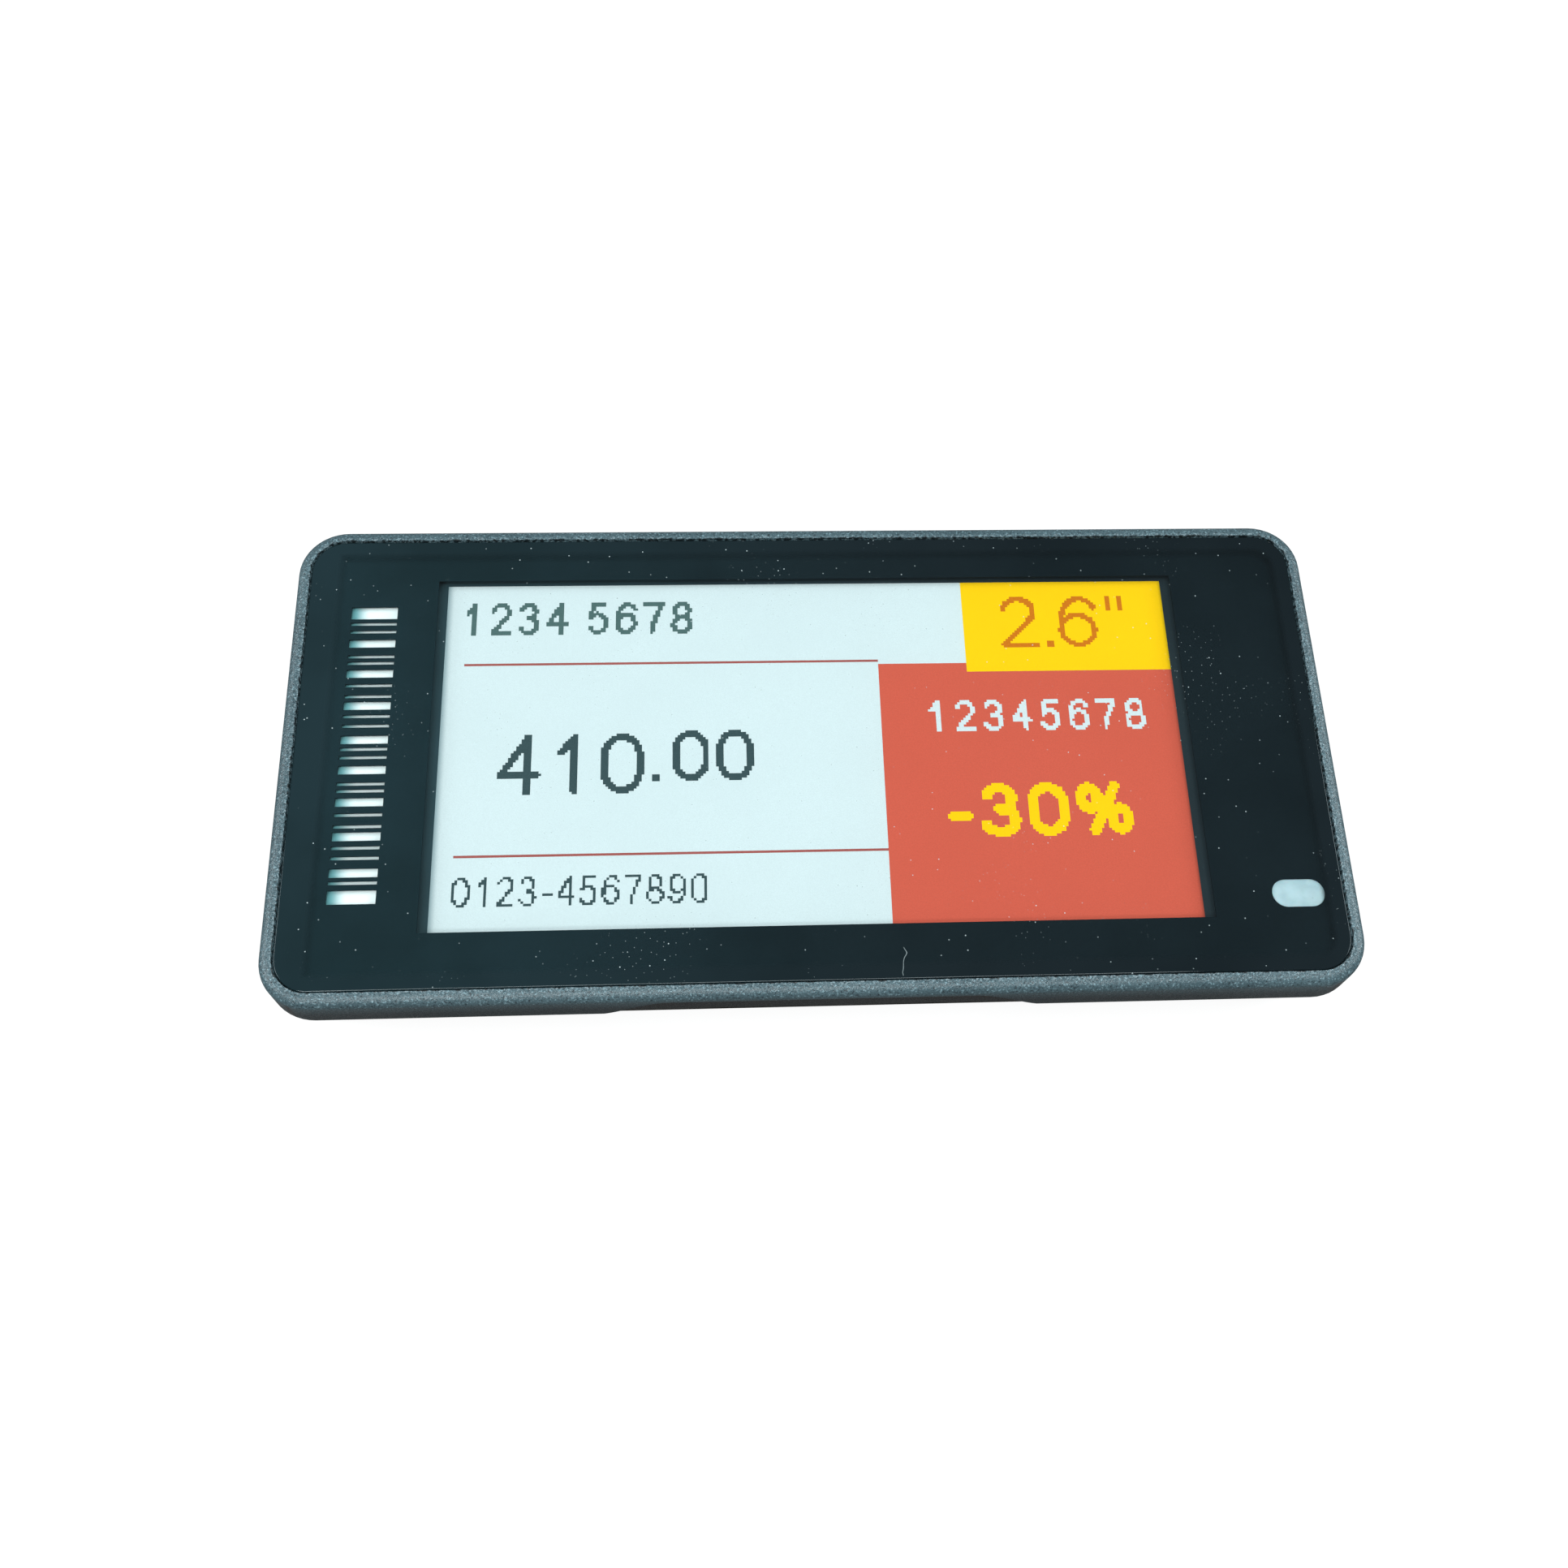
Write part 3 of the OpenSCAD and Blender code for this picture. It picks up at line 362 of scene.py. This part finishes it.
paper = epaper("ink_pale", (0.645, 0.69, 0.705), 0.04)
dark = epaper("ink_dark", (0.040, 0.068, 0.074), 0.12)
slate = epaper("ink_slate", (0.075, 0.128, 0.124), 0.10)
brown = epaper("ink_brown", (0.60, 0.16, 0.006), 0.10)
red = epaper("ink_red", (0.62, 0.098, 0.060), 0.05)
maroon = epaper("ink_maroon", (0.36, 0.085, 0.075), 0.10)
yellow = epaper("ink_yellow", (0.98, 0.55, 0.001), 0.03)
# Film border ink: the film's own dark edge plus painted shade under the mask's edge, in the print's black
# with its painted reflection, brightened 2.2 times as painted light against the shade it lies in
teal = Finish("ink_teal", (0.014, 0.034, 0.044), 0.62, specular=0.25)
teal.paint(print_black_and_reflection(teal, 2.2))
dress(paper, "display_film")

# Strokes of the figures in a unit box: lines (x0, y0, x1, y1) and arcs (cx, cy, rx, ry, from, to in degrees)
FIGURES = {
    "0": [
        (0.5, 0.64, 0.5, 0.36, 0, 180),
        (0.0, 0.64, 0.0, 0.36),
        (0.5, 0.36, 0.5, 0.36, 180, 360),
        (1.0, 0.36, 1.0, 0.64),
    ],
    "1": [(0.62, 0.0, 0.62, 1.0), (0.62, 1.0, 0.22, 0.72)],
    "2": [(0.5, 0.73, 0.45, 0.27, -38, 165), (0.85, 0.56, 0.02, 0.0), (0.02, 0.0, 0.98, 0.0)],
    "3": [(0.47, 0.75, 0.41, 0.25, -90, 160), (0.47, 0.26, 0.49, 0.26, -160, 90)],
    "4": [(0.74, 0.0, 0.74, 1.0), (0.74, 1.0, 0.0, 0.30), (0.0, 0.30, 1.0, 0.30)],
    "5": [(0.90, 1.0, 0.22, 1.0), (0.22, 1.0, 0.08, 0.52), (0.46, 0.33, 0.5, 0.33, -155, 138)],
    "6": [(0.5, 0.32, 0.5, 0.32, 0, 360), (0.58, 0.5, 0.56, 0.5, 38, 195)],
    "7": [(0.0, 1.0, 1.0, 1.0), (1.0, 1.0, 0.55, 0.45), (0.55, 0.45, 0.36, 0.0)],
    "8": [(0.5, 0.755, 0.41, 0.245, 0, 360), (0.5, 0.26, 0.5, 0.26, 0, 360)],
    "9": [(0.5, 0.68, 0.5, 0.32, 0, 360), (0.42, 0.5, 0.56, 0.5, -142, 15)],
    "-": [(0.05, 0.36, 0.95, 0.36)],
    "%": [(0.20, 0.74, 0.17, 0.24, 0, 360), (0.80, 0.26, 0.17, 0.24, 0, 360), (0.74, 1.0, 0.26, 0.0)],
}
# Widths of signs that aren't as wide as a figure
SIGN_WIDTHS = {"%": 1.42, "-": 0.62, " ": 0.6}
QUOTE_FOOT = 0.72
ARC_STEPS = 36


def stroke_points(stroke, x0, y0, w, h):
    """Centre line of one stroke as short straight steps, in screen dots."""
    if len(stroke) == 4:
        ends = [(stroke[0], stroke[1]), (stroke[2], stroke[3])]
    else:
        cx, cy, rx, ry, start, stop = stroke
        angles = [math.radians(start + (stop - start) * i / ARC_STEPS) for i in range(ARC_STEPS + 1)]
        ends = [(cx + rx * math.cos(a), cy + ry * math.sin(a)) for a in angles]
    return [(x0 + x * w, y0 + y * h) for x, y in ends]


def near_line(px, py, a, b):
    """Distance of a point from the straight step between a and b."""
    dx, dy = b[0] - a[0], b[1] - a[1]
    size = dx * dx + dy * dy
    t = 0.0 if size == 0 else max(0.0, min(1.0, ((px - a[0]) * dx + (py - a[1]) * dy) / size))
    return math.hypot(px - a[0] - t * dx, py - a[1] - t * dy)


class Screen:
    """The screen's dots, columns from the left and rows from the bottom, each with the name of its ink."""

    def __init__(self):
        self.dots = [["" for _ in range(COLS)] for _ in range(ROWS)]

    def fill(self, col0, row0, col1, row1, ink):
        for row in range(max(0, row0), min(ROWS, row1)):
            for col in range(max(0, col0), min(COLS, col1)):
                self.dots[row][col] = ink

    def figure(self, sign, col, row, w, h, thick, ink):
        """Draws one sign with its outer box at col, row, and w by h dots large."""
        half = thick / 2
        for stroke in FIGURES[sign]:
            line = stroke_points(stroke, col + half, row + half, w - thick, h - thick)
            for a, b in zip(line, line[1:]):
                low_c, high_c = int(min(a[0], b[0]) - half - 1), int(max(a[0], b[0]) + half + 2)
                low_r, high_r = int(min(a[1], b[1]) - half - 1), int(max(a[1], b[1]) + half + 2)
                for r in range(max(0, low_r), min(ROWS, high_r)):
                    for c in range(max(0, low_c), min(COLS, high_c)):
                        if near_line(c + 0.5, r + 0.5, a, b) <= half:
                            self.dots[r][c] = ink

    def line(self, text, col, row, w, h, gap, thick, ink):
        """Draws a row of signs, and returns the column after it."""
        for sign in text:
            if sign == " ":
                col += w * SIGN_WIDTHS[sign]
            elif sign == ".":
                self.fill(round(col), round(row), round(col + thick + 0.4), round(row + thick + 0.4), ink)
                col += thick + gap
            elif sign == "'":
                col += gap * 0.6
                foot = round(row + h * QUOTE_FOOT)
                self.fill(round(col), foot, round(col) + round(thick), round(row + h), ink)
                col += thick + gap * 0.3
            else:
                wide = w * SIGN_WIDTHS.get(sign, 1.0)
                self.figure(sign, col, row, wide, h, thick, ink)
                col += wide + gap
        return col

    def rectangles(self, ink):
        """The ink's dots joined into rectangles, none of them overlapping."""
        left = {(c, r) for r in range(ROWS) for c in range(COLS) if self.dots[r][c] == ink}
        found = []
        while left:
            c0, r0 = min(left, key=lambda d: (d[1], d[0]))
            c1 = c0
            while (c1 + 1, r0) in left:
                c1 += 1
            r1 = r0
            while all((c, r1 + 1) in left for c in range(c0, c1 + 1)):
                r1 += 1
            for r in range(r0, r1 + 1):
                for c in range(c0, c1 + 1):
                    left.discard((c, r))
            found.append((c0, r0, c1 + 1, r1 + 1))
        return found


def to_col(x_mm):
    return round((x_mm * MM + (lit_high.x - lit_low.x) / 2) / DOT[0])


def to_row(y_mm):
    return round((y_mm * MM + (lit_high.y - lit_low.y) / 2) / DOT[1])


screen = Screen()
screen.fill(to_col(5.58), 0, COLS, to_row(7.46), "red")
screen.fill(to_col(12.8), to_row(6.7), COLS, ROWS, "yellow")
for y_mm in (7.63, -9.08):
    screen.fill(to_col(-28.3), to_row(y_mm), to_col(5.58), to_row(y_mm) + 1, "maroon")
screen.line("1234 5678", to_col(-28.6), to_row(10.5), 8.8, 15, 2.5, 2.0, "slate")
screen.line("410", to_col(-25.2), to_row(-3.9), 16.6, 26, 3.4, 2.9, "dark")
screen.fill(to_col(-12.9), to_row(-2.9), to_col(-12.9) + 3, to_row(-2.9) + 3, "dark")
screen.line("00", to_col(-11.4), to_row(-2.9), 14.4, 22, 2.9, 2.8, "dark")
screen.line("0123-4567890", to_col(-28.3), to_row(-13.2), 6.6, 12, 1.8, 1.1, "dark")
screen.line("12345678", to_col(9.2), to_row(1.29), 8.6, 14, 2.9, 1.9, "pale")
screen.line("-30%", to_col(10.3), to_row(-8.0), 16.5, 23, 2.4, 4.3, "yellow")
screen.line("2.6''", to_col(15.9), to_row(8.8), 16.2, 24, 2.9, 2.4, "brown")
# The outermost ring of dots gets the border's ink: painted shade along the screen's edge
for ends in ((0, 0, COLS, 1), (0, ROWS - 1, COLS, ROWS), (0, 0, 1, ROWS), (COLS - 1, 0, COLS, ROWS)):
    screen.fill(*ends, "teal")


def plates(name, boxes, low_z, high_z, finish, body):
    """One mesh of closed thin plates, given as (x0, y0, x1, y1) in metres."""
    verts, faces = [], []
    for x0, y0, x1, y1 in boxes:
        n = len(verts)
        verts += [(x0, y0, low_z), (x1, y0, low_z), (x1, y1, low_z), (x0, y1, low_z)]
        verts += [(x0, y0, high_z), (x1, y0, high_z), (x1, y1, high_z), (x0, y1, high_z)]
        quads = ((3, 2, 1, 0), (4, 5, 6, 7), (0, 1, 5, 4), (1, 2, 6, 5), (2, 3, 7, 6), (3, 0, 4, 7))
        faces += [tuple(n + i for i in quad) for quad in quads]
    mesh = bpy.data.meshes.new(name)
    mesh.from_pydata(verts, [], faces)
    mesh.materials.append(finish.material)
    piece = bpy.data.objects.new(name, mesh)
    bpy.context.scene.collection.objects.link(piece)
    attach(piece, body)
    return piece


INK_T = 0.008 * MM
INKS = {
    "dark": dark,
    "slate": slate,
    "brown": brown,
    "red": red,
    "maroon": maroon,
    "yellow": yellow,
    "teal": teal,
}
for ink_name, finish in INKS.items():
    boxes = [
        (
            lit_low.x + c0 * DOT[0],
            lit_low.y + r0 * DOT[1],
            lit_low.x + c1 * DOT[0],
            lit_low.y + r1 * DOT[1],
        )
        for c0, r0, c1, r1 in screen.rectangles(ink_name)
    ]
    # Around the dots, the film's border in the same ink: its dark edge and painted shade under the mask
    if ink_name == "teal":
        x0, y0, x1, y1 = film_low.x, film_low.y, film_high.x, film_high.y
        boxes += [
            (x0, y0, x1, lit_low.y),
            (x0, lit_high.y, x1, y1),
            (x0, lit_low.y, lit_low.x, lit_high.y),
            (lit_high.x, lit_low.y, x1, lit_high.y),
        ]
    plates("screen_" + ink_name, boxes, film_high.z, film_high.z + INK_T, finish, "housing")

# ---------------------------------------------------------------- inner parts

glass = Finish("display_glass_tint", (0.35, 0.46, 0.44), 0.08)
glass.mottle(4.0, (0.32, 0.43, 0.41), (0.39, 0.50, 0.47))
glass.shader.inputs["Coat Weight"].default_value = 0.4
dress(glass, "display_glass")

chip = Finish("chip_epoxy", (0.02, 0.02, 0.022), 0.55)
chip.mottle(0.6, (0.016, 0.016, 0.018), (0.028, 0.028, 0.03))
chip.relief([(chip.noise(0.05, 2.0), 1.0)], 0.004, 0.6)
dress(chip, "driver_chip", "radio_chip", "memory_chip", "flex_lock")

flex = Finish("flex_amber", (0.42, 0.19, 0.04), 0.3)
tracks = flex.cells(0.3, place=flex.stretched((0.02, 1.0, 0.02)), jitter=0.0)
flex.paint(flex.mix(flex.span(tracks, 0.2, 0.3), (0.55, 0.27, 0.07), (0.36, 0.15, 0.03)))
flex.relief([(flex.noise(0.4, 2.0), 1.0)], 0.004, 0.4)
dress(flex, "display_flex")

foam = Finish("foam_grey", (0.035, 0.035, 0.038), 0.95, specular=0.2)
foam.mottle(0.35, (0.025, 0.025, 0.028), (0.055, 0.055, 0.06))
foam.relief([(foam.cells(0.12), 1.0)], 0.03, 0.7)
dress(foam, "display_foam", "door_foam")

tray = Finish("tray_ivory", (0.48, 0.48, 0.45), 0.5)
tray.mottle(6.0, (0.44, 0.44, 0.41), (0.53, 0.53, 0.50))
tray.relief([(tray.noise(0.15, 2.0), 1.0)], 0.006, 0.5)
dress(tray, "display_tray")

board = Finish("board_green", (0.012, 0.09, 0.035), 0.35)
copper_under = board.span(board.cells(2.2, "DISTANCE_TO_EDGE", jitter=0.7), 0.05, 0.08)
board.paint(board.mix(copper_under, (0.018, 0.13, 0.05), (0.008, 0.065, 0.026)))
board.shader.inputs["Coat Weight"].default_value = 0.3
board.relief([(copper_under, 1.0)], 0.01, 0.4)
dress(board, "main_board")

housing_white = Finish("connector_beige", (0.70, 0.64, 0.50), 0.45)
housing_white.mottle(0.8, (0.64, 0.58, 0.45), (0.76, 0.70, 0.56))
dress(housing_white, "flex_connector")

ceramic = Finish("capacitor_ceramic", (0.30, 0.20, 0.09), 0.4)
ceramic.mottle(0.3, (0.25, 0.16, 0.07), (0.38, 0.26, 0.13))
dress(ceramic, "capacitors")

ferrite = Finish("coil_ferrite", (0.04, 0.04, 0.043), 0.6)
ferrite.mottle(0.25, (0.028, 0.028, 0.03), (0.06, 0.06, 0.064))
ferrite.relief([(ferrite.noise(0.08, 2.0), 1.0)], 0.006, 0.6)
dress(ferrite, "boost_coil")

copper = Finish("antenna_copper", (0.72, 0.36, 0.16), 0.35, 1.0)
copper.mottle(1.5, (0.66, 0.31, 0.13), (0.80, 0.43, 0.20))
copper.uneven(0.4, 0.28, 0.45)
dress(copper, "antenna")

steel = Finish("plated_steel", (0.56, 0.57, 0.58), 0.3, 1.0)
steel.mottle(0.9, (0.50, 0.51, 0.53), (0.62, 0.63, 0.64))
steel.uneven(0.3, 0.22, 0.42)
dress(steel, "crystal", "board_screws")

can = Finish("cell_steel", (0.60, 0.60, 0.60), 0.32, 1.0)
streaks = can.noise(0.5, 2.0, place=can.stretched((0.04, 1.0, 1.0)))
can.paint(can.mix(can.span(streaks, 0.3, 0.7), (0.55, 0.55, 0.55), (0.66, 0.66, 0.65)))
can.link(can.span(streaks, 0.3, 0.7, 0.24, 0.42), can.shader.inputs["Roughness"])
dress(can, "cell_left", "cell_right")

bronze = Finish("contact_bronze", (0.66, 0.49, 0.22), 0.3, 1.0)
bronze.mottle(1.0, (0.60, 0.44, 0.19), (0.74, 0.56, 0.28))
bronze.uneven(0.3, 0.22, 0.40)
dress(bronze, "negative_contacts", "positive_contacts")

# ---------------------------------------------------------------- floor, world, lamps

FLOOR_REACH, FLOOR_Z = 4.0, -0.12 * MM
GLOW_START, GLOW_FULL = 0.25, 1.2
floor_mesh = bpy.data.meshes.new("floor")
corners = ((-1, -1), (1, -1), (1, 1), (-1, 1))
floor_points = [(x * FLOOR_REACH, y * FLOOR_REACH, FLOOR_Z) for x, y in corners]
floor_mesh.from_pydata(floor_points, [], [(0, 1, 2, 3)])
floor = bpy.data.objects.new("floor", floor_mesh)
bpy.context.scene.collection.objects.link(floor)
ground = Finish("floor_white", (0.16, 0.16, 0.16), 0.9, specular=0.0)
ray = ground.add("ShaderNodeLightPath")
seen = ground.math("MAXIMUM", ray.outputs["Is Camera Ray"], ray.outputs["Is Transmission Ray"])
glow = ground.add("ShaderNodeEmission")
glow.inputs["Color"].default_value = (1, 1, 1, 1)
far = ground.vector("LENGTH", ground.place)
glow_share = ground.span(far, GLOW_START, GLOW_FULL, 0.88, 1.0)
ground.link(ground.math("MULTIPLY", seen, glow_share), glow.inputs["Strength"])
both = ground.add("ShaderNodeAddShader")
ground.link(ground.shader.outputs[0], both.inputs[0])
ground.link(glow.outputs[0], both.inputs[1])
ground.link(both.outputs[0], ground.output.inputs["Surface"])
floor_mesh.materials.append(ground.material)

world = bpy.data.worlds.new("studio")
world.use_nodes = True
bpy.context.scene.world = world
sky = world.node_tree
back = sky.nodes["Background"]
coords = sky.nodes.new("ShaderNodeTexCoord")
parts = sky.nodes.new("ShaderNodeSeparateXYZ")
sky.links.new(coords.outputs["Generated"], parts.inputs[0])
rise = sky.nodes.new("ShaderNodeMapRange")
rise.interpolation_type = "SMOOTHSTEP"
rise.inputs["From Min"].default_value = 0.15
rise.inputs["From Max"].default_value = 0.75
rise.inputs["To Min"].default_value = 0.30
rise.inputs["To Max"].default_value = 0.16
sky.links.new(parts.outputs["Z"], rise.inputs["Value"])
view_ray = sky.nodes.new("ShaderNodeLightPath")
brighter = sky.nodes.new("ShaderNodeMath")
brighter.operation = "MAXIMUM"
sky.links.new(rise.outputs["Result"], brighter.inputs[0])
sky.links.new(view_ray.outputs["Is Camera Ray"], brighter.inputs[1])
tint = sky.nodes.new("ShaderNodeMix")
tint.data_type = "RGBA"
sky.links.new(view_ray.outputs["Is Camera Ray"], tint.inputs["Factor"])
tint_inputs = [socket for socket in tint.inputs if socket.type == "RGBA"]
tint_inputs[0].default_value = (0.93, 0.98, 1.0, 1)
tint_inputs[1].default_value = (1, 1, 1, 1)
sky.links.new([socket for socket in tint.outputs if socket.type == "RGBA"][0], back.inputs["Color"])
sky.links.new(brighter.outputs[0], back.inputs["Strength"])


LAMP_AIM = Vector((0, 0, 0.005))


def lamp(name, place, size, power, colour):
    light = bpy.data.lights.new(name, "AREA")
    light.shape = "RECTANGLE"
    light.size, light.size_y = size
    light.energy = power
    light.color = colour
    holder = bpy.data.objects.new(name, light)
    holder.location = place
    holder.rotation_euler = (LAMP_AIM - Vector(place)).to_track_quat("-Z", "Y").to_euler()
    bpy.context.scene.collection.objects.link(holder)


lamp("overhead", (0.0, -0.21, 0.79), (0.50, 0.24), 3.6, (0.97, 1.0, 1.0))
lamp("front_left", (-0.30, -0.42, 0.60), (0.20, 0.12), 1.9, (0.97, 1.0, 1.0))
lamp("left_side", (-0.62, 0.12, 0.42), (0.30, 0.40), 3.0, (0.92, 0.98, 1.0))
lamp("right_side", (0.62, 0.16, 0.42), (0.30, 0.40), 3.6, (0.90, 0.98, 1.0))

# ---------------------------------------------------------------- camera

# Axes and place of the camera, as fitted to the screen's corners and the label's outline in the photo
film_centre = (lit_low + lit_high) / 2
RIGHT = Vector((0.99805958, -0.03870075, 0.04877831))
DOWN = Vector((-0.01530537, -0.91183043, -0.41028161))
FORWARD = Vector((0.06035576, 0.40873892, -0.91065344))
eye = film_centre + Vector((-6.919, -57.666, 121.139)) * MM
lens_data = bpy.data.cameras.new("camera")
lens_data.sensor_width = 36.0
lens_data.lens = 38.396
lens_data.shift_x = -0.0294
lens_data.clip_start = 0.01
lens_data.clip_end = 50.0
camera = bpy.data.objects.new("camera", lens_data)
axes = Matrix((RIGHT, -DOWN, -FORWARD)).transposed()
camera.matrix_world = Matrix.Translation(eye) @ axes.to_4x4()
bpy.context.scene.collection.objects.link(camera)
bpy.context.scene.camera = camera

bpy.context.scene.view_settings.view_transform = "Standard"
